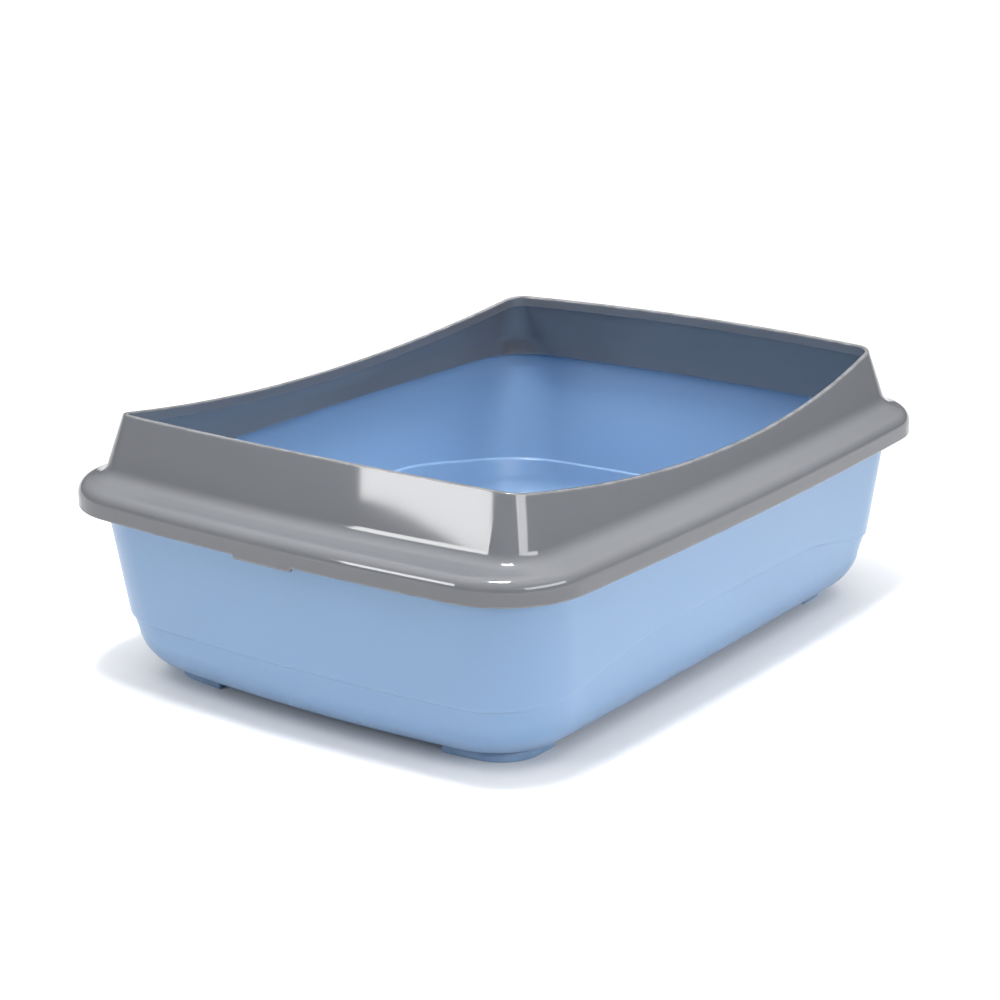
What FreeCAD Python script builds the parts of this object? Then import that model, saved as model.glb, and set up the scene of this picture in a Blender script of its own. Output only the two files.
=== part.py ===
import FreeCAD, Part
import math
import os

# Open cat litter pan with a raised clip-on rim, in millimetres.
# Frame: +Z up, origin on the floor under the middle, the long sides run along Y,
# and the -Y end is the front. Both pieces are symmetric about X = 0 and Y = 0.
# An inset is measured inwards from the outer face of the rim's skirt.

# --- the whole pan ------------------------------------------------------------
LENGTH = 480.0             # over the rim's skirt, along Y
WIDTH = 356.5              # over the rim's skirt, along X
HEIGHT = 164.8             # floor to the rim's top edge at its ends
WALL = 2.2                 # moulded wall of both pieces

# --- rim ------------------------------------------------------------------------
SKIRT_Z = 109.9            # lower edge of the skirt
SKIRT_CORNER = 53.4        # plan radius of the skirt's corners
SKIRT_BOW_X = 7.2          # how far the long sides bow outwards at mid length
SKIRT_BOW_Y = 8.9          # the same for the short ends
SKIRT_LEAN = 0.3           # inset of the skirt's upper edge
SHOULDER_Z = 114.5         # where the skirt starts to round over
SHOULDER_R = 13.0          # radius of that rounding
SHOULDER_TURN = 68.0       # degrees of rounding before the flange's flat slope
FLANGE_Z = 128.5           # flange where it meets the raised wall
FILLET = 5.0               # height of the hollow between the flange and the raised wall
WALL_FOOT = 12.0           # inset of the raised wall, drawn down to the skirt's edge
WALL_FOOT_CORNER = 30.4    # plan radius of the raised wall there
WALL_END_SHIFT = 1.2       # how much further in the raised wall stands at the short ends
WALL_LEAN = 0.32           # inward lean of the raised wall, mm per mm of height
DIP = 19.2                 # how far the long sides' top edge dips at mid length
LIP_DEPTH = 6.8            # height of the turned-in lip along the top edge
LIP_REACH = 0.55           # how far that lip stands in from the wall
EDGE_R = 1.0               # rounding of the top edge

# --- leg that hangs from the rim's flange inside the tray ------------------------
LEG_Z = 118.4              # lower edge
LEG_INSET = 17.0           # inset of its outer face
LEG_CORNER = 40.3          # plan radius of its corners
LEG_CORNER_TOP = 27.5      # the same where it joins the flange
LEG_LEAN = 2.2             # how much further in it joins the flange

# --- snap tabs in the middle of both short ends -----------------------------------
TAB_WIDTH = 39.5
TAB_DROP = 2.3             # how far a tab hangs below the skirt
CATCH_LENGTH = 30.0        # bead inside the tab, below the tray's turned-down lip
CATCH_Z = 110.4
CATCH_HEIGHT = 3.0
CATCH_REACH = 4.3
BLEND = 0.1                # how deep a fused piece sits inside the skirt's faces

# --- tray -----------------------------------------------------------------------------
FOOT_HEIGHT = 5.0          # the tray's underside stands on feet this high
FLOOR = 2.4                # floor thickness
BOTTOM_R = 30.0            # outer rounding between the wall and the underside
BOTTOM_CORNER_SHARE = 0.6  # how fast the plan radius shrinks along that rounding
TRAY_INSET = 12.1          # inset of the wall's outer face at the rim's leg
TRAY_LEAN = 0.135          # outward draft of the wall, mm per mm of height
TRAY_CORNER_LOW = 48.8     # plan radius of the wall's corners above the bottom rounding
TRAY_CORNER_TOP = 47.4     # the same at the top
TRAY_BOW_X = 2.4           # bows of the underside
TRAY_BOW_Y = 10.6
STEP = 1.2                 # inset of the wall's lower band
STEP_RISE = 0.8            # height over which the wall steps in
STEP_Z_END = 40.5          # level of the step on the short ends
STEP_Z_SIDE = 57.5         # level of the step in the middle of the long sides
STEP_LEVEL_SHARE = 0.35    # share of half the length over which the step keeps that level
INNER_STEP_LIFT = 1.5      # the step inside the tray lies this much higher
LIP_Z = 124.3              # top of the turned-out lip, just below the rim's flange
LIP_EDGE_INSET = 7.0       # inset of the lip's turned-down edge
LIP_EDGE_Z = 113.0         # lower end of that edge

# --- feet: four angled pads under the corners -------------------------------------------
FOOT_INSET = 48.0          # inset of a foot's outer edge
FOOT_WIDTH = 11.5
FOOT_CORNER = 26.0
FOOT_START_X = 82.0        # a foot runs from this X, round the corner ...
FOOT_START_Y = 145.0       # ... to this Y
FOOT_SINK = 2.2            # how far a foot reaches into the floor that it is moulded with

ARC_STEPS = 6              # straight steps in each rounding of a profile
CURVE_POINTS = 9           # points along one side or corner of a loop that isn't level

HALF_X = WIDTH / 2
HALF_Y = LENGTH / 2
BOTTOM_TOP_Z = FOOT_HEIGHT + BOTTOM_R


# --- plans and loops -----------------------------------------------------------------------

def quarter_points(half_x, half_y, corner, bow_x, bow_y):
    """The first quarter of the barrel-shaped plan: where its arcs start, pass and end."""
    side_r = (half_y ** 2 + bow_x ** 2) / (2 * bow_x)
    end_r = (half_x ** 2 + bow_y ** 2) / (2 * bow_y)
    side_centre = FreeCAD.Vector(half_x - side_r, 0, 0)
    end_centre = FreeCAD.Vector(0, half_y - end_r, 0)
    # the corner's arc lies inside both large arcs and touches each of them
    span = end_centre - side_centre
    side_reach = side_r - corner
    end_reach = end_r - corner
    along = (side_reach ** 2 - end_reach ** 2 + span.Length ** 2) / (2 * span.Length)
    across = math.sqrt(side_reach ** 2 - along ** 2)
    unit = FreeCAD.Vector(span).normalize()
    normal = FreeCAD.Vector(-unit.y, unit.x, 0)
    if normal.x + normal.y < 0:
        normal = -normal
    centre = side_centre + unit * along + normal * across
    to_side = FreeCAD.Vector(centre - side_centre).normalize()
    to_end = FreeCAD.Vector(centre - end_centre).normalize()
    to_corner = FreeCAD.Vector(to_side + to_end).normalize()
    return [
        FreeCAD.Vector(half_x, 0, 0),
        side_centre + to_side * side_r,
        centre + to_corner * corner,
        end_centre + to_end * end_r,
        FreeCAD.Vector(0, half_y, 0),
    ]


def flip(point, sign_x, sign_y):
    return FreeCAD.Vector(point.x * sign_x, point.y * sign_y, 0)


def plan_arcs(half_x, half_y, corner, bow_x, bow_y):
    """The plan's eight arcs, counter-clockwise: the +X side, its corner, the +Y end, ..."""
    side, start, middle, finish, end = quarter_points(half_x, half_y, corner, bow_x, bow_y)
    return [
        Part.Arc(flip(start, 1, -1), side, start),
        Part.Arc(start, middle, finish),
        Part.Arc(finish, end, flip(finish, -1, 1)),
        Part.Arc(flip(finish, -1, 1), flip(middle, -1, 1), flip(start, -1, 1)),
        Part.Arc(flip(start, -1, 1), flip(side, -1, 1), flip(start, -1, -1)),
        Part.Arc(flip(start, -1, -1), flip(middle, -1, -1), flip(finish, -1, -1)),
        Part.Arc(flip(finish, -1, -1), flip(end, -1, -1), flip(finish, 1, -1)),
        Part.Arc(flip(finish, 1, -1), flip(middle, 1, -1), flip(start, 1, -1)),
    ]


def level_loop(inset, z, corner, bow_x=SKIRT_BOW_X, bow_y=SKIRT_BOW_Y, end_shift=0.0):
    """A level closed loop of eight arcs."""
    edges = []
    for arc in plan_arcs(HALF_X - inset, HALF_Y - inset - end_shift, corner, bow_x, bow_y):
        edge = arc.toShape()
        edge.translate(FreeCAD.Vector(0, 0, z))
        edges.append(edge)
    return edges


def curved_loop(arcs, place):
    """A closed loop of eight smooth curves: place() lifts and shifts points of the plan's arcs."""
    edges = []
    for number, arc in enumerate(arcs):
        points = arc.toShape().discretize(CURVE_POINTS)
        placed = [place(point, number, i / (CURVE_POINTS - 1)) for i, point in enumerate(points)]
        curve = Part.BSplineCurve()
        curve.interpolate(placed)
        edges.append(curve.toShape())
    return edges


def arc_profile(centre_inset, centre_z, radius, start, finish):
    """Inset and height along a rounding; the angle is 0 outwards and 90 degrees upwards."""
    points = []
    for number in range(ARC_STEPS + 1):
        angle = math.radians(start + (finish - start) * number / ARC_STEPS)
        points.append((centre_inset - radius * math.cos(angle), centre_z + radius * math.sin(angle)))
    return points


# --- solids from loops ------------------------------------------------------------------------

def skin(loops):
    """Ruled faces between each loop and the next."""
    faces = []
    for loop, following in zip(loops, loops[1:]):
        for edge, facing in zip(loop, following):
            faces.append(Part.makeRuledSurface(edge, facing))
    return faces


def closed_solid(faces):
    """The solid that these faces bound."""
    shell = Part.makeShell(faces)
    shell.sewShape()
    solid = Part.makeSolid(shell)
    if solid.Volume < 0:
        solid.reverse()
    return solid


def ring(loops):
    """A hoop whose cross-section passes through the loops in turn and back to the first."""
    return closed_solid(skin(loops + loops[:1]))


# --- rim ------------------------------------------------------------------------------------------

def wall_inset(z):
    """Inset of the raised wall's outer face at this height."""
    return WALL_FOOT + WALL_LEAN * (z - SKIRT_Z)


def wall_corner(inset):
    """Plan radius of the raised wall: its corners tighten as it leans in."""
    return WALL_FOOT_CORNER - (inset - WALL_FOOT)


def flange_corner(inset):
    """Plan radius across the flange, between the skirt's wide corner and the wall's tight one."""
    foot = wall_inset(FLANGE_Z)
    return SKIRT_CORNER + (wall_corner(foot) - SKIRT_CORNER) * inset / foot


def flange_loop(inset, z):
    """A level loop across the flange."""
    share = inset / wall_inset(FLANGE_Z)
    return level_loop(inset, z, flange_corner(inset), end_shift=WALL_END_SHIFT * share)


def top_loop(inwards, down):
    """A loop along the dipping top edge, placed inwards and down from the wall's outer top."""
    inset = wall_inset(HEIGHT) + inwards
    half_x = HALF_X - inset
    half_y = HALF_Y - inset - WALL_END_SHIFT
    half_dip = HALF_Y - wall_inset(HEIGHT) - WALL_END_SHIFT

    def place(point, number, share):
        fall = DIP * (1 - min(abs(point.y) / half_dip, 1) ** 2)
        # the wall is further out where the edge is lower
        outwards = math.copysign(WALL_LEAN * fall, point.x) if abs(point.x) > 1 else 0
        return FreeCAD.Vector(point.x + outwards, point.y, HEIGHT - down - fall)

    arcs = plan_arcs(half_x, half_y, wall_corner(inset), SKIRT_BOW_X, SKIRT_BOW_Y)
    return curved_loop(arcs, place)


def rim_outside():
    """Loops up the skirt, over the rounded flange and into the raised wall."""
    profile = [(0.0, SKIRT_Z)]
    profile += arc_profile(SKIRT_LEAN + SHOULDER_R, SHOULDER_Z, SHOULDER_R, 0, SHOULDER_TURN)
    profile.append((wall_inset(FLANGE_Z) - 0.7 * FILLET, FLANGE_Z - 0.2 * FILLET))
    profile.append((wall_inset(FLANGE_Z) - 0.1 * FILLET, FLANGE_Z + 0.2 * FILLET))
    profile.append((wall_inset(FLANGE_Z + FILLET), FLANGE_Z + FILLET))
    return [flange_loop(inset, z) for inset, z in profile]


def rim_lip():
    """Loops over the rounded top edge and round the turned-in lip, down to the wall's inner face."""
    reach = WALL + LIP_REACH
    lean = WALL_LEAN * LIP_DEPTH
    return [
        top_loop(-WALL_LEAN * EDGE_R, EDGE_R),
        top_loop(0.3 * EDGE_R, 0.3 * EDGE_R),
        top_loop(EDGE_R, 0.0),
        top_loop(reach - EDGE_R, 0.0),
        top_loop(reach - 0.3 * EDGE_R, 0.3 * EDGE_R),
        top_loop(reach, EDGE_R),
        top_loop(reach - 0.2 * lean, LIP_DEPTH - 0.5),
        top_loop(reach - 0.2 * lean - 0.4, LIP_DEPTH),
        top_loop(WALL - lean, LIP_DEPTH + 0.3),
    ]


def rim_inside():
    """Loops down the wall and the leg inside, up the leg outside, and round the flange's underside."""
    kink_z = FLANGE_Z + 2.0
    kink = wall_inset(kink_z) + WALL
    roof_z = FLANGE_Z - WALL
    channel = arc_profile(SKIRT_LEAN + SHOULDER_R, SHOULDER_Z, SHOULDER_R - WALL, SHOULDER_TURN, 0)
    loops = [
        level_loop(kink, kink_z, wall_corner(kink) + WALL, end_shift=WALL_END_SHIFT),
        level_loop(LEG_INSET + WALL, LEG_Z, LEG_CORNER - WALL),
        level_loop(LEG_INSET, LEG_Z, LEG_CORNER),
        level_loop(LEG_INSET + LEG_LEAN, roof_z - 1.0, LEG_CORNER_TOP),
        level_loop(LEG_INSET + LEG_LEAN - 1.0, roof_z, LEG_CORNER_TOP),
    ]
    loops += [flange_loop(inset, z) for inset, z in channel]
    loops.append(flange_loop(WALL, SKIRT_Z))
    return loops


def end_window(width, side):
    """A box over the middle of one short end's skirt; side is -1 at the front, +1 at the back."""
    depth = SKIRT_BOW_Y + 20
    low_y = side * (HALF_Y + 1) if side < 0 else HALF_Y + 1 - depth
    return Part.makeBox(width, depth, 30, FreeCAD.Vector(-width / 2, low_y, SKIRT_Z - 15))


def snap_tab(side):
    """The tab that hangs below the skirt at one short end, and the catch inside it."""
    corner = SKIRT_CORNER - WALL
    inner = WALL - BLEND
    band = ring([
        level_loop(BLEND, SKIRT_Z - TAB_DROP, SKIRT_CORNER),
        level_loop(BLEND, SKIRT_Z + TAB_DROP, SKIRT_CORNER),
        level_loop(inner, SKIRT_Z + TAB_DROP, corner),
        level_loop(inner, SKIRT_Z - TAB_DROP, corner),
    ])
    bead = ring([
        level_loop(inner - 0.5, CATCH_Z - CATCH_HEIGHT / 2, corner),
        level_loop(inner - 0.5, CATCH_Z + CATCH_HEIGHT / 2, corner),
        level_loop(WALL + CATCH_REACH, CATCH_Z, corner),
    ])
    return [band.common(end_window(TAB_WIDTH, side)), bead.common(end_window(CATCH_LENGTH, side))]


def make_rim():
    """One moulding: skirt, flange, raised wall with its lip, inner leg, tabs and catches."""
    rim = ring(rim_outside() + rim_lip() + rim_inside())
    return rim.fuse(snap_tab(-1) + snap_tab(1))


# --- tray -----------------------------------------------------------------------------------------

def tray_inset(z):
    """Inset of the wall's outer face above its step."""
    return TRAY_INSET + TRAY_LEAN * (LEG_Z - z)


def tray_shape(z):
    """Plan radius and bows of the wall at this height."""
    share = max(0.0, (z - BOTTOM_TOP_Z) / (LEG_Z - BOTTOM_TOP_Z))
    corner = TRAY_CORNER_LOW + (TRAY_CORNER_TOP - TRAY_CORNER_LOW) * share
    bow_x = TRAY_BOW_X + (SKIRT_BOW_X - TRAY_BOW_X) * share
    bow_y = TRAY_BOW_Y + (SKIRT_BOW_Y - TRAY_BOW_Y) * share
    return corner, bow_x, bow_y


def tray_loop(inset, z, corner_change=0.0):
    """A level loop of the tray."""
    corner, bow_x, bow_y = tray_shape(z)
    return level_loop(inset, z, corner + corner_change, bow_x, bow_y)


def step_loop(extra_inset, lift):
    """A loop along the step, which falls along the long sides towards the short ends."""
    middle = (STEP_Z_END + STEP_Z_SIDE) / 2
    corner, bow_x, bow_y = tray_shape(middle)
    half_x = HALF_X - tray_inset(STEP_Z_SIDE + lift) - extra_inset
    half_y = HALF_Y - tray_inset(STEP_Z_END + lift) - extra_inset
    quarter = quarter_points(half_x, half_y, corner - extra_inset, bow_x, bow_y)
    finish_y = quarter[3].y

    def place(point, number, share):
        reach = (abs(point.y) / finish_y - STEP_LEVEL_SHARE) / (1 - STEP_LEVEL_SHARE)
        towards_end = 1 if number % 4 == 2 else min(max(reach, 0), 1)
        smooth = towards_end ** 2 * (3 - 2 * towards_end)
        z = STEP_Z_SIDE + (STEP_Z_END - STEP_Z_SIDE) * smooth
        return FreeCAD.Vector(point.x, point.y, z + lift)

    arcs = plan_arcs(half_x, half_y, corner - extra_inset, bow_x, bow_y)
    return curved_loop(arcs, place)


def bottom_rounding(radius, wall_thickness):
    """Loops round the wall's foot, from the level floor up to the wall."""
    wall = tray_inset(BOTTOM_TOP_Z) + STEP
    loops = []
    for inset, z in arc_profile(wall + BOTTOM_R, BOTTOM_TOP_Z, radius, -90, 0):
        shrink = BOTTOM_CORNER_SHARE * (inset - wall) + wall_thickness * (1 - BOTTOM_CORNER_SHARE)
        corner, bow_x, bow_y = tray_shape(z)
        loops.append(level_loop(inset, z, corner - shrink, bow_x, bow_y))
    return loops


def tray_outside():
    """Loops from the underside up the wall and round the turned-out lip."""
    loops = bottom_rounding(BOTTOM_R, 0.0)
    loops.append(step_loop(STEP, 0.0))
    loops.append(step_loop(0.0, STEP_RISE))
    under_lip = LIP_Z - 2 * WALL
    edge = LIP_EDGE_INSET
    profile = [
        (tray_inset(under_lip - 1), under_lip - 1),
        (edge + WALL + 1.2, under_lip),
        (edge + WALL + 0.2, under_lip - 1),
        (edge + WALL, LIP_EDGE_Z),
        (edge, LIP_EDGE_Z),
        (edge, LIP_Z - 4.8),
        (edge + 1.0, LIP_Z - 2.8),
        (edge + 3.0, LIP_Z - 1.3),
        (tray_inset(LIP_Z) + 1.2, LIP_Z),
    ]
    return loops + [tray_loop(inset, z, tray_inset(z) - inset) for inset, z in profile]


def tray_inside():
    """Loops from the lip down the wall's inner face to the floor."""
    top = tray_inset(LIP_Z) + WALL
    loops = [tray_loop(top, LIP_Z - 0.3, -WALL)]
    loops.append(tray_loop(top + 0.4, LIP_Z - 1.6, -WALL))
    loops.append(step_loop(WALL, INNER_STEP_LIFT + STEP_RISE))
    loops.append(step_loop(WALL + STEP, INNER_STEP_LIFT))
    rounding = bottom_rounding(BOTTOM_R - FLOOR, WALL)
    return loops + rounding[::-1]


def make_feet():
    """Four angled pads, as separate solids."""
    outer = FOOT_INSET
    inner = FOOT_INSET + FOOT_WIDTH
    small = FOOT_CORNER - FOOT_WIDTH
    top = FOOT_HEIGHT + FOOT_SINK
    loops = [
        level_loop(outer + 1.0, 0.0, FOOT_CORNER - 1.0, TRAY_BOW_X, TRAY_BOW_Y),
        level_loop(outer, 1.0, FOOT_CORNER, TRAY_BOW_X, TRAY_BOW_Y),
        level_loop(outer, top, FOOT_CORNER, TRAY_BOW_X, TRAY_BOW_Y),
        level_loop(inner, top, small, TRAY_BOW_X, TRAY_BOW_Y),
        level_loop(inner, 0.0, small, TRAY_BOW_X, TRAY_BOW_Y),
    ]
    edges = [Part.Wire(loops[0]), Part.Wire(loops[-1])]
    sole = Part.makeFace(edges, "Part::FaceMakerBullseye")
    hoop = closed_solid(skin(loops) + [sole])
    feet = []
    for sign_x in (-1, 1):
        for sign_y in (-1, 1):
            low_x = FOOT_START_X if sign_x > 0 else -HALF_X
            low_y = FOOT_START_Y if sign_y > 0 else -HALF_Y
            corner = FreeCAD.Vector(low_x, low_y, -1)
            window = Part.makeBox(HALF_X - FOOT_START_X, HALF_Y - FOOT_START_Y, 20, corner)
            feet.append(hoop.common(window))
    return feet


def make_tray():
    """One moulding: floor, rounded and stepped wall, turned-out lip and feet."""
    loops = tray_outside() + tray_inside()
    underside = Part.Face(Part.Wire(loops[0]))
    floor = Part.Face(Part.Wire(loops[-1]))
    tray = closed_solid([underside] + skin(loops) + [floor])
    return tray.fuse(make_feet())


os.makedirs("parts", exist_ok=True)
for node, shape in (("tray", make_tray()), ("rim", make_rim())):
    print(node, "valid", shape.isValid(), "solids", len(shape.Solids), "faces", len(shape.Faces),
          "volume", round(shape.Volume), "box", shape.BoundBox)
    shape.exportStep("parts/" + node + ".step")
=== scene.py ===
import math

import bmesh
import bpy
import numpy as np
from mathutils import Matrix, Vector


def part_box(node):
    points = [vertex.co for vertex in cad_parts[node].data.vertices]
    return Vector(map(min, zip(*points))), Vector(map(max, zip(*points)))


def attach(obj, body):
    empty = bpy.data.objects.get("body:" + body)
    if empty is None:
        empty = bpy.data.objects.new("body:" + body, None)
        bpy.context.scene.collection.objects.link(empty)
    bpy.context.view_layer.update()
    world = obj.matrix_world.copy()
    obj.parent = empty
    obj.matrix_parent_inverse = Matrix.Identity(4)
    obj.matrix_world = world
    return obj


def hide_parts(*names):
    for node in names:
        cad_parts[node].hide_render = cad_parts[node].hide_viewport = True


# An open cat litter pan: a light blue tray and a grey rim that lies loose on it. Metres.
# Both mouldings are dense skins between closed outlines that follow the CAD pieces, with the
# roundings, the crease and the soft corners that the CAD leaves out.
# An inset is measured inwards from the outer face of the rim's skirt.

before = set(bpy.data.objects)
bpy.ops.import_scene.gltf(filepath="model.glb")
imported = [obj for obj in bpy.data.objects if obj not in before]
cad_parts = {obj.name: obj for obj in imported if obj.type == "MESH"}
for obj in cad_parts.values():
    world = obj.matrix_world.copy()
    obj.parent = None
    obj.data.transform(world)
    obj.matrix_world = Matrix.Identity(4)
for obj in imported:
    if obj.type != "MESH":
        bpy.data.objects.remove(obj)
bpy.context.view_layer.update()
rim_low, rim_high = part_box("rim")
tray_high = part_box("tray")[1]

# --- the whole pan ------------------------------------------------------------------------------
HALF_X = rim_high.x        # half the width over the skirt
HALF_Y = rim_high.y        # half the length over the skirt
HEIGHT = 0.1648            # floor to the rim's top edge at its ends
WALL = 0.0022              # moulded wall of both pieces

# --- rim ----------------------------------------------------------------------------------------
TAB_DROP = 0.0023          # how far a snap tab hangs below the skirt
TAB_HALF = 0.01975         # half a tab's width
TAB_RAMP = 0.0016          # length over which the skirt steps down to a tab
SKIRT_Z = rim_low.z + TAB_DROP
SKIRT_CORNER = 0.0534      # plan radius of the skirt's corners
SKIRT_BOW_X = 0.0072       # how far the long sides bow outwards at mid length
SKIRT_BOW_Y = 0.0089       # the same for the short ends
SKIRT_LEAN = 0.0003        # inset of the skirt's upper edge
SHOULDER_Z = 0.1145        # where the skirt starts to round over
SHOULDER_R = 0.013         # radius of that rounding
SHOULDER_TURN = 68.0       # degrees of rounding before the flange's slope
FLANGE_Z = 0.1285          # flange where it meets the raised wall
CREASE_SHARE = 0.52        # place of the flange's fine crease, from the shoulder to the wall
CREASE_DEPTH = 0.0003      # how far the flange sinks along the crease
WALL_FOOT = 0.012          # inset of the raised wall, drawn down to the skirt's edge
WALL_FOOT_CORNER = 0.0304  # plan radius of the raised wall there
WALL_END_SHIFT = 0.0012    # how much further in the raised wall stands at the short ends
WALL_LEAN = 0.32           # inward lean of the raised wall
FILLET_REACH = 0.0052      # how far the hollow at the wall's foot reaches to each side
DIP = 0.0192               # how far the long sides' top edge dips at mid length
LIP_DEPTH = 0.0068         # height of the turned-in lip along the top edge
LIP_REACH = 0.00055        # how far that lip stands in from the wall
TOP_EDGE_REACH = 0.0009    # rounding of the top edge
LEG_Z = 0.1184             # lower edge of the leg that hangs inside the tray
LEG_INSET = 0.017          # inset of the leg's outer face at its lower edge
LEG_CORNER = 0.0403        # plan radius there
LEG_CORNER_TOP = 0.0275    # plan radius at the channel's roof
LEG_LEAN = 0.0022          # how much further in the leg stands at the roof
KINK_RISE = 0.002          # the wall's inner face bends this far above the flange
CATCH_HALF = 0.015         # half length of the bead inside a snap tab
CATCH_Z = 0.1104           # level of the bead's middle
CATCH_HEIGHT = 0.003
CATCH_REACH = 0.0043       # how far the bead stands in from the skirt
CATCH_SINK = 0.0005        # how far the bead reaches into the skirt
CATCH_TAPER = 0.002        # length over which it tapers at each end ...
CATCH_TAPER_END = 0.15     # ... down to this share of its size

# --- tray ---------------------------------------------------------------------------------------
FOOT_HEIGHT = 0.005        # the tray's underside stands on feet this high
FLOOR = 0.0024             # thickness of the tray's floor
BOTTOM_R = 0.03            # outer rounding between the wall and the underside
BOTTOM_CORNER_SHARE = 0.6  # how fast the plan radius shrinks along that rounding
BOTTOM_TOP_Z = FOOT_HEIGHT + BOTTOM_R
TRAY_INSET = 0.0121        # inset of the wall's outer face at the rim's leg
TRAY_LEAN = 0.135          # outward draft of the wall
TRAY_CORNER_LOW = 0.0488   # plan radius of the wall's corners above the bottom rounding
TRAY_CORNER_TOP = 0.0474   # the same at the rim's leg
TRAY_BOW_X = 0.0024        # bow of the long sides at the underside
TRAY_BOW_Y = 0.0106        # bow of the short ends there
STEP = 0.0012              # inset of the wall's lower band
STEP_RISE = 0.0008         # height over which the wall steps in
STEP_Z_END = 0.0405        # level of the step on the short ends
STEP_Z_SIDE = 0.0575       # level of the step in the middle of the long sides
STEP_LEVEL_SHARE = 0.35    # share of half the length over which the step keeps that level
INNER_STEP_LIFT = 0.0015   # how much higher the step lies on the inner face
LIP_Z = tray_high.z        # top of the turned-out lip, just below the rim's flange
LIP_EDGE_INSET = 0.007     # inset of the lip's turned-down edge
LIP_EDGE_Z = 0.113         # lower end of that edge
LIP_SLOPE_IN = 0.003       # width of the slope between the edge and the lip's top
LIP_SLOPE_LOW = 0.0042     # depth of the slope's outer end below the top
LIP_SLOPE_HIGH = 0.0014    # depth of its inner end
FOOT_INSET = 0.048         # inset of a foot's outer face
FOOT_WIDTH = 0.0115
FOOT_CORNER = 0.026        # plan radius of a foot's outer face
FOOT_START_X = 0.082       # a foot runs from this X, round the corner ...
FOOT_START_Y = 0.145       # ... to this Y
FOOT_SINK = 0.0022         # how far a foot reaches into the floor that it is moulded with
FOOT_EDGE_R = 0.0009       # rounding of a foot's lower edges

# --- fineness of the meshes ---------------------------------------------------------------------
SIDE_STEPS = 30            # along half a long side
CORNER_STEPS = 26          # round a corner
END_STEPS = 16             # from a corner to the tab
RAMP_STEPS = 6             # down the tab's ramp
TAB_STEPS = 5              # along half the tab
FOOT_STEPS = 60            # along a foot
CATCH_STEPS = 25           # along a catch
ARC_DEGREES = 9.0          # turn of one step in a rounding
HOLD = 0.0006              # an extra outline this far from each rounding keeps the shading clean
SPAN = 0.007               # longest step across a flat stretch
MIDDLE_SHARES = (0.97, 0.88, 0.75, 0.6, 0.45, 0.3, 0.15)  # rings across the floor

# --- studio -------------------------------------------------------------------------------------
AIM_Z = 0.1                # the lamps point at this height above the floor
FLOOR_RADIUS = 40          # the studio floor reaches past every camera's view


# --- outlines: arrays with one row per point, all with the same number of points ----------------

def quarter_outline(half_x, half_y, corner, bow_x, bow_y):
    """From the middle of the +X side round the corner to the middle of the +Y end."""
    side_r = (half_y ** 2 + bow_x ** 2) / (2 * bow_x)
    end_r = (half_x ** 2 + bow_y ** 2) / (2 * bow_y)
    side_centre = np.array([half_x - side_r, 0.0])
    end_centre = np.array([0.0, half_y - end_r])
    # the corner's arc lies inside both large arcs and touches each of them
    span = end_centre - side_centre
    length = np.hypot(*span)
    along = ((side_r - corner) ** 2 - (end_r - corner) ** 2 + length ** 2) / (2 * length)
    across = math.sqrt((side_r - corner) ** 2 - along ** 2)
    unit = span / length
    outwards = np.array([-unit[1], unit[0]])
    if outwards.sum() < 0:
        outwards = -outwards
    centre = side_centre + unit * along + outwards * across
    to_side = centre - side_centre
    to_end = centre - end_centre
    start = math.atan2(to_side[1], to_side[0])
    finish = math.atan2(to_end[1], to_end[0])

    side = np.linspace(0, start, SIDE_STEPS + 1)
    turn = np.linspace(start, finish, CORNER_STEPS + 1)[1:]
    last_x = centre[0] + corner * math.cos(finish)
    end_x = np.concatenate([
        np.linspace(last_x, TAB_HALF + TAB_RAMP, END_STEPS + 1)[1:],
        np.linspace(TAB_HALF + TAB_RAMP, TAB_HALF, RAMP_STEPS + 1)[1:],
        np.linspace(TAB_HALF, 0, TAB_STEPS + 1)[1:],
    ])
    return np.concatenate([
        side_centre + side_r * np.stack([np.cos(side), np.sin(side)], 1),
        centre + corner * np.stack([np.cos(turn), np.sin(turn)], 1),
        np.stack([end_x, end_centre[1] + np.sqrt(end_r ** 2 - end_x ** 2)], 1),
    ])


def around(quarter):
    """The whole outline from its first quarter: one row per point, counter-clockwise."""
    back = quarter[::-1]
    return np.concatenate([
        quarter,
        (back * [-1, 1])[1:],
        (quarter * [-1, -1])[1:],
        (back * [1, -1])[1:-1],
    ])


def level(inset, z, corner, bow_x=SKIRT_BOW_X, bow_y=SKIRT_BOW_Y, end_shift=0.0):
    """A level outline at this inset and height."""
    half_y = HALF_Y - inset - end_shift
    flat = around(quarter_outline(HALF_X - inset, half_y, corner, bow_x, bow_y))
    return np.column_stack([flat, np.full(len(flat), z)])


def smooth(share):
    """Eases from 0 to 1."""
    return share * share * (3 - 2 * share)


# --- skins through outlines ---------------------------------------------------------------------

def unit_rows(rows):
    """Every row at length 1."""
    return rows / np.maximum(np.linalg.norm(rows, axis=1, keepdims=True), 1e-9)


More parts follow.
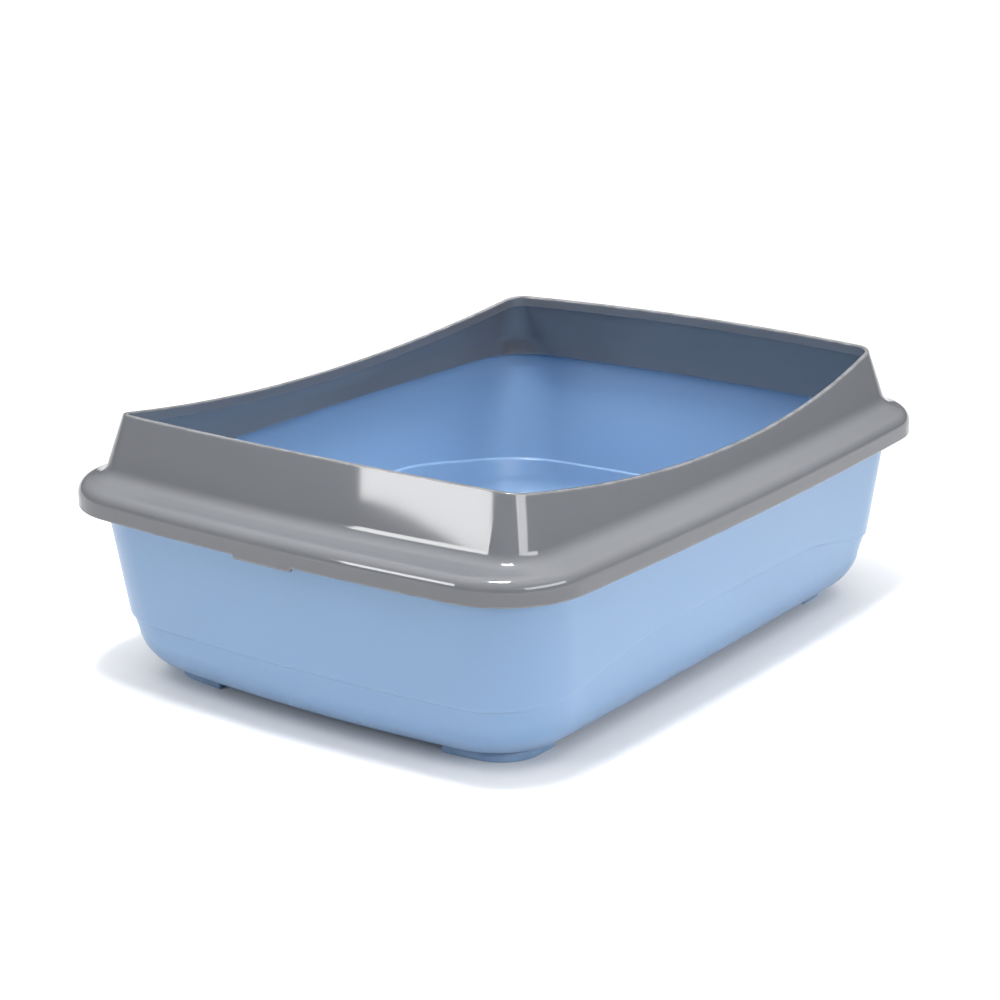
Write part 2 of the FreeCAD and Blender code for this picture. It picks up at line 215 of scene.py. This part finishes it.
def rounded(turns, closed):
    """Outlines through a row of turns. A turn is (outline, reach, edge mark): the reach of its
    rounding to each side, and how pale its edge is, from 0 to 1: partly handling wear, partly a
    painted highlight along the edge. Returns outlines and their edge marks."""
    pieces = []
    for number, (outline, reach, wear_and_edge_highlight) in enumerate(turns):
        if reach == 0 or not closed and number in (0, len(turns) - 1):
            pieces.append(([outline], [wear_and_edge_highlight]))
            continue
        to_before = unit_rows(turns[number - 1][0] - outline)
        to_after = unit_rows(turns[(number + 1) % len(turns)][0] - outline)
        cosine = np.clip(np.sum(to_before * to_after, 1, keepdims=True), -1, 1)
        weight = np.sqrt((1 - cosine) / 2)
        turn = 180 - math.degrees(math.acos(float(np.mean(cosine))))
        steps = max(2, round(turn / ARC_DEGREES))
        start = outline + to_before * reach
        finish = outline + to_after * reach
        arc = []
        for share in np.linspace(0, 1, steps + 1):
            first = (1 - share) ** 2
            middle = 2 * share * (1 - share) * weight
            last = share ** 2
            arc.append((first * start + middle * outline + last * finish) / (first + middle + last))
        pieces.append((arc, [wear_and_edge_highlight] * len(arc)))

    outlines, marks = [], []
    for number, (arc, wear_and_edge_highlight) in enumerate(pieces):
        outlines += arc
        marks += wear_and_edge_highlight
        if not closed and number == len(pieces) - 1:
            break
        start = arc[-1]
        finish = pieces[(number + 1) % len(pieces)][0][0]
        length = float(np.mean(np.linalg.norm(finish - start, axis=1)))
        if length > 3 * HOLD:
            count = max(1, math.ceil((length - 2 * HOLD) / SPAN))
            for share in np.linspace(HOLD / length, 1 - HOLD / length, count + 1):
                outlines.append(start + (finish - start) * share)
                marks.append(0.0)
    return outlines, marks


def new_piece(name, vertices, faces, wear_and_edge_highlight):
    """A smooth-shaded mesh object with its edge marks, partly wear and partly painted highlight,
    stored per point.
    """
    mesh = bpy.data.meshes.new(name)
    mesh.from_pydata([tuple(v) for v in vertices], [], faces)
    # the edge mark pales the colour in the material: partly wear, partly a painted highlight
    attribute = mesh.attributes.new("wear_and_edge_highlight", "FLOAT", "POINT")
    attribute.data.foreach_set("value", np.asarray(wear_and_edge_highlight, np.float32))
    work = bmesh.new()
    work.from_mesh(mesh)
    bmesh.ops.recalc_face_normals(work, faces=work.faces)
    work.to_mesh(mesh)
    work.free()
    mesh.shade_smooth()
    piece = bpy.data.objects.new(name, mesh)
    bpy.context.scene.collection.objects.link(piece)
    return piece


def band_faces(rings, count, closed):
    """Four-sided faces between neighbouring rings of count points each."""
    faces = []
    for ring in range(rings if closed else rings - 1):
        low = ring * count
        high = (ring + 1) % rings * count
        for i in range(count):
            j = (i + 1) % count
            faces.append((low + i, low + j, high + j, high + i))
    return faces


# --- rim ----------------------------------------------------------------------------------------

def wall_inset(z):
    """Inset of the raised wall's outer face."""
    return WALL_FOOT + WALL_LEAN * (z - SKIRT_Z)


def wall_corner(inset):
    """Plan radius of the raised wall at this inset."""
    return WALL_FOOT_CORNER - (inset - WALL_FOOT)


def flange_corner(inset):
    """Plan radius between the skirt and the raised wall's foot."""
    foot = wall_inset(FLANGE_Z)
    return SKIRT_CORNER + (wall_corner(foot) - SKIRT_CORNER) * inset / foot


def flange(inset, z):
    """A level outline on the skirt or the flange; its shape goes over into the raised wall's."""
    share = inset / wall_inset(FLANGE_Z)
    return level(inset, z, flange_corner(inset), end_shift=WALL_END_SHIFT * share)


def skirt_edge(inset):
    """The skirt's lower edge, which steps down to a tab in the middle of each end."""
    outline = flange(inset, SKIRT_Z)
    beyond = (np.abs(outline[:, 0]) - TAB_HALF) / TAB_RAMP
    on_end = np.abs(outline[:, 1]) > HALF_Y / 2
    outline[:, 2] -= TAB_DROP * on_end * (1 - smooth(np.clip(beyond, 0, 1)))
    return outline


def top_edge(inwards, down):
    """The dipping top edge, inwards and down from the wall's outer top."""
    inset = wall_inset(HEIGHT) + inwards
    outline = level(inset, HEIGHT - down, wall_corner(inset), end_shift=WALL_END_SHIFT)
    half_dip = HALF_Y - wall_inset(HEIGHT) - WALL_END_SHIFT
    fall = DIP * (1 - np.minimum(np.abs(outline[:, 1]) / half_dip, 1) ** 2)
    outline[:, 2] -= fall
    outline[:, 0] += np.sign(outline[:, 0]) * WALL_LEAN * fall
    return outline


def make_rim():
    slope_turn = math.tan(math.radians(SHOULDER_TURN / 2))
    outer_reach = SHOULDER_R * slope_turn
    inner_reach = (SHOULDER_R - WALL) * slope_turn
    shoulder = (SKIRT_LEAN, SHOULDER_Z + outer_reach)
    foot = (wall_inset(FLANGE_Z), FLANGE_Z)
    crease = tuple(a + (b - a) * CREASE_SHARE for a, b in zip(shoulder, foot))
    lean = WALL_LEAN * LIP_DEPTH
    kink_z = FLANGE_Z + KINK_RISE
    kink = wall_inset(kink_z) + WALL
    roof_z = FLANGE_Z - WALL
    # up the outside, over the top edge, down inside, round the leg and back through the channel;
    # the shoulder's reaches are cut short, so that they don't run into the crease or the leg
    # the last number of each turn pales its edge: partly wear, partly a painted highlight
    turns = [
        (skirt_edge(0.0), 0.0007, 1.0),
        (flange(*shoulder), outer_reach * 0.7, 0.0),
        (flange(crease[0], crease[1] - CREASE_DEPTH), 0.0004, 0.0),
        (flange(*foot), FILLET_REACH, 0.0),
        (top_edge(0.0, 0.0), TOP_EDGE_REACH, 1.0),
        (top_edge(WALL + LIP_REACH, 0.0), TOP_EDGE_REACH, 1.0),
        (top_edge(WALL + LIP_REACH - 0.2 * lean, LIP_DEPTH), 0.0005, 0.6),
        (top_edge(WALL - lean, LIP_DEPTH + 0.0003), 0.0004, 0.0),
        (level(kink, kink_z, wall_corner(kink) + WALL, end_shift=WALL_END_SHIFT), 0.002, 0.0),
        (level(LEG_INSET + WALL, LEG_Z, LEG_CORNER - WALL), 0.0007, 0.5),
        (level(LEG_INSET, LEG_Z, LEG_CORNER), 0.0007, 0.0),
        (level(LEG_INSET + LEG_LEAN, roof_z, LEG_CORNER_TOP), 0.001, 0.0),
        (flange(WALL + SKIRT_LEAN, SHOULDER_Z + inner_reach), inner_reach * 0.8, 0.0),
        (skirt_edge(WALL), 0.0007, 0.5),
    ]
    outlines, wear_and_edge_highlight = rounded(turns, closed=True)
    count = len(outlines[0])
    vertices = np.concatenate(outlines)
    marks = np.repeat(wear_and_edge_highlight, count)
    return new_piece("rim_moulding", vertices, band_faces(len(outlines), count, True), marks)


# --- tray ---------------------------------------------------------------------------------------

def tray_inset(z):
    """Inset of the wall's outer face."""
    return TRAY_INSET + TRAY_LEAN * (LEG_Z - z)


def tray_shape(z):
    """Plan radius and bows of the wall at this height."""
    share = max(0.0, (z - BOTTOM_TOP_Z) / (LEG_Z - BOTTOM_TOP_Z))
    corner = TRAY_CORNER_LOW + (TRAY_CORNER_TOP - TRAY_CORNER_LOW) * share
    bow_x = TRAY_BOW_X + (SKIRT_BOW_X - TRAY_BOW_X) * share
    bow_y = TRAY_BOW_Y + (SKIRT_BOW_Y - TRAY_BOW_Y) * share
    return corner, bow_x, bow_y


def tray_level(inset, z, corner_change=0.0):
    """A level outline with the plan shape that the wall has at this height."""
    corner, bow_x, bow_y = tray_shape(z)
    return level(inset, z, corner + corner_change, bow_x, bow_y)


def step_outline(extra_inset, lift):
    """Along the step, which falls along the long sides towards the short ends."""
    corner, bow_x, bow_y = tray_shape((STEP_Z_END + STEP_Z_SIDE) / 2)
    half_x = HALF_X - tray_inset(STEP_Z_SIDE + lift) - extra_inset
    half_y = HALF_Y - tray_inset(STEP_Z_END + lift) - extra_inset
    flat = around(quarter_outline(half_x, half_y, corner - extra_inset, bow_x, bow_y))
    corner_end = flat[SIDE_STEPS + CORNER_STEPS, 1]
    reach = (np.abs(flat[:, 1]) / corner_end - STEP_LEVEL_SHARE) / (1 - STEP_LEVEL_SHARE)
    z = STEP_Z_SIDE + (STEP_Z_END - STEP_Z_SIDE) * smooth(np.clip(reach, 0, 1)) + lift
    return np.column_stack([flat, z])


def bottom_rounding(radius, wall_thickness):
    """Outlines from the level floor up to the wall, tangent to both."""
    lean = math.atan(TRAY_LEAN)
    wall = tray_inset(BOTTOM_TOP_Z) + STEP
    centre = wall + BOTTOM_R
    steps = round(90 / ARC_DEGREES) + 4
    outlines = []
    for angle in np.linspace(-math.pi / 2, -lean, steps + 1):
        inset = centre - radius * math.cos(angle)
        z = BOTTOM_TOP_Z + radius * math.sin(angle)
        shrink = BOTTOM_CORNER_SHARE * (inset - wall) + wall_thickness * (1 - BOTTOM_CORNER_SHARE)
        outlines.append(tray_level(inset, z, -shrink))
    return outlines


def shrinking(outline):
    """Rings from the outline inwards over a level surface."""
    return [outline * [share, share, 1] for share in MIDDLE_SHARES]


def make_tray():
    under_lip = LIP_Z - 2 * WALL
    edge = LIP_EDGE_INSET
    outer_foot = bottom_rounding(BOTTOM_R, 0.0)
    inner_foot = bottom_rounding(BOTTOM_R - FLOOR, WALL)[::-1]

    def lip(inset, z):
        return tray_level(inset, z, tray_inset(z) - inset)

    top = tray_inset(LIP_Z) + WALL
    # up the outside, round the turned-out lip, and down inside
    # the last number of each turn pales its edge: partly wear, partly a painted highlight
    turns = [
        (outer_foot[-1], 0.0, 0.0),
        (step_outline(STEP, 0.0), 0.0004, 0.0),
        (step_outline(0.0, STEP_RISE), 0.0004, 0.4),
        (lip(tray_inset(under_lip), under_lip), 0.0012, 0.0),
        (lip(edge + WALL, under_lip), 0.0012, 0.0),
        (lip(edge + WALL, LIP_EDGE_Z), 0.0006, 0.5),
        (lip(edge, LIP_EDGE_Z), 0.0006, 1.0),
        (lip(edge, LIP_Z - LIP_SLOPE_LOW), 0.0015, 0.0),
        (lip(edge + LIP_SLOPE_IN, LIP_Z - LIP_SLOPE_HIGH), 0.0015, 0.0),
        (lip(tray_inset(LIP_Z) + 0.0008, LIP_Z), 0.0007, 0.0),
        (tray_level(top, LIP_Z, -WALL), 0.0008, 0.6),
        (step_outline(WALL, INNER_STEP_LIFT + STEP_RISE), 0.0006, 0.0),
        (step_outline(WALL + STEP, INNER_STEP_LIFT), 0.0006, 0.3),
        (inner_foot[0], 0.0, 0.0),
    ]
    wall, wear_and_edge_highlight = rounded(turns, closed=False)
    rings = shrinking(outer_foot[0])[::-1] + outer_foot[:-1] + wall
    rings += inner_foot[1:] + shrinking(inner_foot[-1])
    marks = [0.0] * (len(MIDDLE_SHARES) + len(outer_foot) - 1) + wear_and_edge_highlight
    marks += [0.0] * (len(rings) - len(marks))

    count = len(rings[0])
    vertices = list(np.concatenate(rings))
    faces = band_faces(len(rings), count, False)
    weights = list(np.repeat(marks, count))
    for ring in (0, len(rings) - 1):
        middle = len(vertices)
        vertices.append(np.array([0.0, 0.0, rings[ring][0][2]]))
        weights.append(0.0)
        first = ring * count
        faces += [(first + i, first + (i + 1) % count, middle) for i in range(count)]
    return new_piece("tray_moulding", vertices, faces, weights)


# --- pieces swept along part of an outline ------------------------------------------------------

def swept(name, sections, wear_and_edge_highlight):
    """A closed body through sections of equal point count, closed flat at both ends."""
    count = len(sections[0])
    vertices = np.concatenate(sections)
    faces = band_faces(len(sections), count, False)
    faces.append(tuple(range(count)))
    faces.append(tuple(range((len(sections) - 1) * count, len(sections) * count)))
    return new_piece(name, vertices, faces, np.full(len(vertices), wear_and_edge_highlight))


def foot_line(inset, corner):
    """Plan points of a foot's face, evenly spaced, from the long side round to the short end."""
    quarter = quarter_outline(HALF_X - inset, HALF_Y - inset, corner, TRAY_BOW_X, TRAY_BOW_Y)
    on_side = quarter[:, 1] > FOOT_START_Y
    on_end = quarter[:, 0] > FOOT_START_X
    inside = quarter[on_side & on_end]
    side_x = np.interp(FOOT_START_Y, quarter[:, 1], quarter[:, 0])
    end_y = np.interp(-FOOT_START_X, -quarter[:, 0], quarter[:, 1])
    ends = np.array([[side_x, FOOT_START_Y]]), np.array([[FOOT_START_X, end_y]])
    line = np.concatenate([ends[0], inside, ends[1]])
    lengths = np.concatenate([[0], np.cumsum(np.hypot(*np.diff(line, axis=0).T))])
    places = np.linspace(0, lengths[-1], FOOT_STEPS)
    return np.column_stack([np.interp(places, lengths, line[:, k]) for k in (0, 1)])


def make_foot(sign_x, sign_y):
    """An angled pad under one corner, with a rounded lower edge."""
    outer = foot_line(FOOT_INSET, FOOT_CORNER)
    inner = foot_line(FOOT_INSET + FOOT_WIDTH, FOOT_CORNER - FOOT_WIDTH)
    top = FOOT_HEIGHT + FOOT_SINK
    profile = [(0.0, top), (0.0, FOOT_EDGE_R)]
    for angle in np.radians(np.arange(15, 90, 15)):
        inwards, z = 1 - math.cos(angle), 1 - math.sin(angle)
        profile.append((FOOT_EDGE_R * inwards, FOOT_EDGE_R * z))
    profile.append((FOOT_EDGE_R, 0.0))
    widths = np.hypot(*(inner - outer).T)
    sections = []
    for a, b, width in zip(outer, inner, widths):
        across = (b - a) / width
        near = [(*(a + across * inwards), z) for inwards, z in profile]
        far = [(*(b - across * inwards), z) for inwards, z in profile[::-1]]
        sections.append(np.array(near + far) * [sign_x, sign_y, 1])
    # the ends are drawn in a little, so that they aren't knife sharp
    for first, second in ((0, 1), (-1, -2)):
        end = sections[first]
        middle = end.mean(0)
        sections[first] = middle + (end - middle) * [0.93, 0.93, 0.86] + [0, 0, 0.0002]
        sections[second] = end + (sections[second] - end) * 0.35
    return swept("tray_foot", sections, 0.5)


def make_catch(side):
    """The bead inside a snap tab, below the tray's turned-down lip."""
    inset = WALL - CATCH_SINK
    half_y = HALF_Y - inset
    half_x = HALF_X - inset
    end_r = (half_x ** 2 + SKIRT_BOW_Y ** 2) / (2 * SKIRT_BOW_Y)
    # the bead's rounded section, in shares of its reach and its height
    profile = [(0.0, -0.5), (0.3, -0.44), (0.62, -0.28), (0.85, -0.13), (0.97, -0.04), (1.0, 0.0)]
    profile += [(depth, -height) for depth, height in profile[-2::-1]]
    sections = []
    for x in np.linspace(-CATCH_HALF, CATCH_HALF, CATCH_STEPS):
        taper = min(1.0, (CATCH_HALF - abs(x)) / CATCH_TAPER + CATCH_TAPER_END)
        y = half_y - end_r + math.sqrt(end_r ** 2 - x ** 2)
        reach = (CATCH_REACH + CATCH_SINK) * math.sqrt(taper)
        tall = CATCH_HEIGHT * taper
        section = [(x, side * (y - depth * reach), CATCH_Z + height * tall)
                   for depth, height in profile]
        sections.append(np.array(section))
    return swept("rim_catch", sections, 0.3)


def join(piece, others):
    """Makes the others part of the piece's own mesh."""
    work = bmesh.new()
    for source in [piece] + others:
        work.from_mesh(source.data)
    work.to_mesh(piece.data)
    work.free()
    for source in others:
        mesh = source.data
        bpy.data.objects.remove(source)
        bpy.data.meshes.remove(mesh)


# --- materials ----------------------------------------------------------------------------------

class Nodes:
    """Short ways to add nodes to the node tree of a new material or world."""

    def __init__(self, owner, coordinates, shader):
        owner.use_nodes = True
        self.owner = owner
        self.tree = owner.node_tree
        self.shader = self.tree.nodes[shader]
        self.place = self.add("ShaderNodeTexCoord").outputs[coordinates]

    def add(self, kind, **settings):
        node = self.tree.nodes.new(kind)
        for key, value in settings.items():
            setattr(node, key, value)
        return node

    def link(self, source, target):
        self.tree.links.new(source, target)

    def noise(self, scale, detail, roughness=0.55, stretch=(1, 1, 1)):
        mapping = self.add("ShaderNodeMapping")
        mapping.inputs["Scale"].default_value = stretch
        self.link(self.place, mapping.inputs["Vector"])
        node = self.add("ShaderNodeTexNoise")
        node.inputs["Scale"].default_value = scale
        node.inputs["Detail"].default_value = detail
        node.inputs["Roughness"].default_value = roughness
        self.link(mapping.outputs["Vector"], node.inputs["Vector"])
        return node.outputs["Fac"]

    def spread(self, source, low, high, start=0.3, finish=0.7):
        """Maps the source from start..finish to low..high."""
        node = self.add("ShaderNodeMapRange")
        node.inputs["From Min"].default_value = start
        node.inputs["From Max"].default_value = finish
        node.inputs["To Min"].default_value = low
        node.inputs["To Max"].default_value = high
        self.link(source, node.inputs["Value"])
        return node.outputs["Result"]

    def maths(self, operation, first, second):
        node = self.add("ShaderNodeMath", operation=operation)
        for socket, value in zip(node.inputs, (first, second)):
            if isinstance(value, (int, float)):
                socket.default_value = value
            else:
                self.link(value, socket)
        return node.outputs["Value"]

    def mix(self, factor, first, second):
        node = self.add("ShaderNodeMix", data_type="RGBA")
        self.link(factor, node.inputs["Factor"])
        for socket, value in ((node.inputs["A"], first), (node.inputs["B"], second)):
            if isinstance(value, tuple):
                socket.default_value = (*value, 1)
            else:
                self.link(value, socket)
        return node.outputs["Result"]

    def bump(self, height, strength, distance, before=None):
        node = self.add("ShaderNodeBump")
        node.inputs["Strength"].default_value = strength
        node.inputs["Distance"].default_value = distance
        self.link(height, node.inputs["Height"])
        if before is not None:
            self.link(before, node.inputs["Normal"])
        return node.outputs["Normal"]


def new_material(name):
    return Nodes(bpy.data.materials.new(name), "Object", "Principled BSDF")


def plastic(name, colour, cloudy, worn_and_highlit, roughness, ior):
    """Moulded plastic: faint flow clouds, a fine skin texture, shallow sink waves, and edges that
    are
    a little paler and duller: partly handling wear, partly a painted highlight along the edges."""
    n = new_material(name)
    clouds = n.spread(n.noise(9.0, 3.0), 0, 1)
    flow = n.spread(n.noise(5.0, 2.0, stretch=(1, 1, 5)), 0, 1)
    tone = n.mix(clouds, colour, cloudy)
    tone = n.mix(n.maths("MULTIPLY", flow, 0.35), tone, cloudy)
    wear_and_edge_highlight = n.add("ShaderNodeAttribute", attribute_name="wear_and_edge_highlight").outputs["Fac"]
    patches = n.spread(n.noise(60.0, 5.0, 0.65), 0.1, 1, 0.4, 0.62)
    rubbed_and_highlit = n.maths("MULTIPLY", n.maths("MULTIPLY", wear_and_edge_highlight, patches), 0.55)
    # edges are mixed towards the paler colour: partly wear, partly a painted highlight
    n.link(n.mix(rubbed_and_highlit, tone, worn_and_highlit), n.shader.inputs["Base Color"])

    low, high = roughness
    skin = n.spread(n.noise(24.0, 3.0), low, high)
    gloss = n.maths("ADD", skin, n.maths("MULTIPLY", rubbed_and_highlit, 0.16))
    n.link(gloss, n.shader.inputs["Roughness"])

    waves = n.bump(n.noise(9.0, 1.0), 0.25, 0.0003)
    grain = n.bump(n.noise(700.0, 2.0), 0.03, 0.00003, waves)
    n.link(grain, n.shader.inputs["Normal"])
    n.shader.inputs["IOR"].default_value = ior
    return n.owner


def floor_material():
    """Matt pale studio paper."""
    n = new_material("studio_paper")
    tone = n.mix(n.spread(n.noise(3.0, 3.0), 0, 1), (0.85, 0.85, 0.852), (0.87, 0.87, 0.87))
    n.link(tone, n.shader.inputs["Base Color"])
    n.link(n.spread(n.noise(40.0, 4.0), 0.8, 0.95), n.shader.inputs["Roughness"])
    n.shader.inputs["Specular IOR Level"].default_value = 0.1
    return n.owner


# --- studio -------------------------------------------------------------------------------------

def direction(azimuth, elevation):
    """From the object outwards; azimuth 0 is -Y and 90 is +X, in degrees."""
    az, el = math.radians(azimuth), math.radians(elevation)
    return Vector((math.sin(az) * math.cos(el), -math.cos(az) * math.cos(el), math.sin(el)))


def make_camera():
    """A long lens from the front right, a little above the pan."""
    target = Vector((0, 0, 0.08494))
    back = direction(35.16, 17.04)
    distance = 1.4683
    data = bpy.data.cameras.new("camera")
    data.sensor_width = 36
    data.lens = 84.54
    data.shift_x = -0.01557
    camera = bpy.data.objects.new("camera", data)
    camera.location = target + back * distance
    camera.rotation_euler = (-back).to_track_quat("-Z", "Y").to_euler()
    bpy.context.scene.collection.objects.link(camera)
    bpy.context.scene.camera = camera


def softbox(name, azimuth, elevation, distance, width, height, power, roll=0.0):
    """A rectangular lamp aimed at the pan; it doesn't show itself to the camera."""
    data = bpy.data.lights.new(name, "AREA")
    data.shape = "RECTANGLE"
    data.size = width
    data.size_y = height
    data.energy = power
    lamp = bpy.data.objects.new(name, data)
    back = direction(azimuth, elevation)
    lamp.location = Vector((0, 0, AIM_Z)) + back * distance
    lamp.rotation_euler = (-back).to_track_quat("-Z", "Y").to_euler()
    lamp.rotation_euler.rotate_axis("Z", math.radians(roll))
    lamp.visible_camera = False
    bpy.context.scene.collection.objects.link(lamp)
    return lamp


def make_world():
    """A pale studio: brighter overhead, darker on the photographer's side."""
    world = bpy.data.worlds.new("studio")
    bpy.context.scene.world = world
    n = Nodes(world, "Generated", "Background")
    split = n.add("ShaderNodeSeparateXYZ")
    n.link(n.place, split.inputs["Vector"])
    rise = n.maths("MULTIPLY", split.outputs["Z"], split.outputs["Z"])
    bright = n.spread(rise, 0.12, 2.6, 0.0, 1.0)
    facing = n.add("ShaderNodeVectorMath", operation="DOT_PRODUCT")
    facing.inputs[1].default_value = direction(35, 0)
    n.link(n.place, facing.inputs[0])
    dim = n.spread(facing.outputs["Value"], 1.0, 0.5, 0.1, 0.9)
    n.shader.inputs["Color"].default_value = (1, 1, 1, 1)
    n.link(n.maths("MULTIPLY", bright, dim), n.shader.inputs["Strength"])


def make_floor():
    mesh = bpy.data.meshes.new("floor")
    work = bmesh.new()
    bmesh.ops.create_circle(work, cap_ends=True, segments=96, radius=FLOOR_RADIUS)
    work.to_mesh(mesh)
    work.free()
    floor = bpy.data.objects.new("floor", mesh)
    mesh.materials.append(floor_material())
    bpy.context.scene.collection.objects.link(floor)


# --- the whole picture --------------------------------------------------------------------------

make_camera()
make_world()
make_floor()
softbox("key_left", -25.0, 20.5, 2.2, 0.49, 0.5, 8.3, 14)
softbox("key_right", 82, 23, 2.2, 1.9, 0.5, 20.5)
overhead = softbox("overhead", 25, 78, 1.8, 0.45, 0.55, 1.45)
overhead.data.spread = math.radians(24)

rim = make_rim()
join(rim, [make_catch(-1), make_catch(1)])
# the third colour is the paler edge colour: partly wear, partly a painted highlight
rim.data.materials.append(plastic(
    "rim_plastic", (0.118, 0.123, 0.135), (0.124, 0.129, 0.141), (0.24, 0.24, 0.245),
    (0.045, 0.06), 1.56))
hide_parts("rim")
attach(rim, "rim")

tray = make_tray()
join(tray, [make_foot(x, y) for x in (-1, 1) for y in (-1, 1)])
# the third colour is the paler edge colour: partly wear, partly a painted highlight
tray.data.materials.append(plastic(
    "tray_plastic", (0.180, 0.296, 0.470), (0.184, 0.300, 0.475), (0.38, 0.5, 0.68),
    (0.295, 0.305), 1.49))
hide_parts("tray")
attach(tray, "tray")

bpy.context.scene.view_settings.view_transform = "Standard"
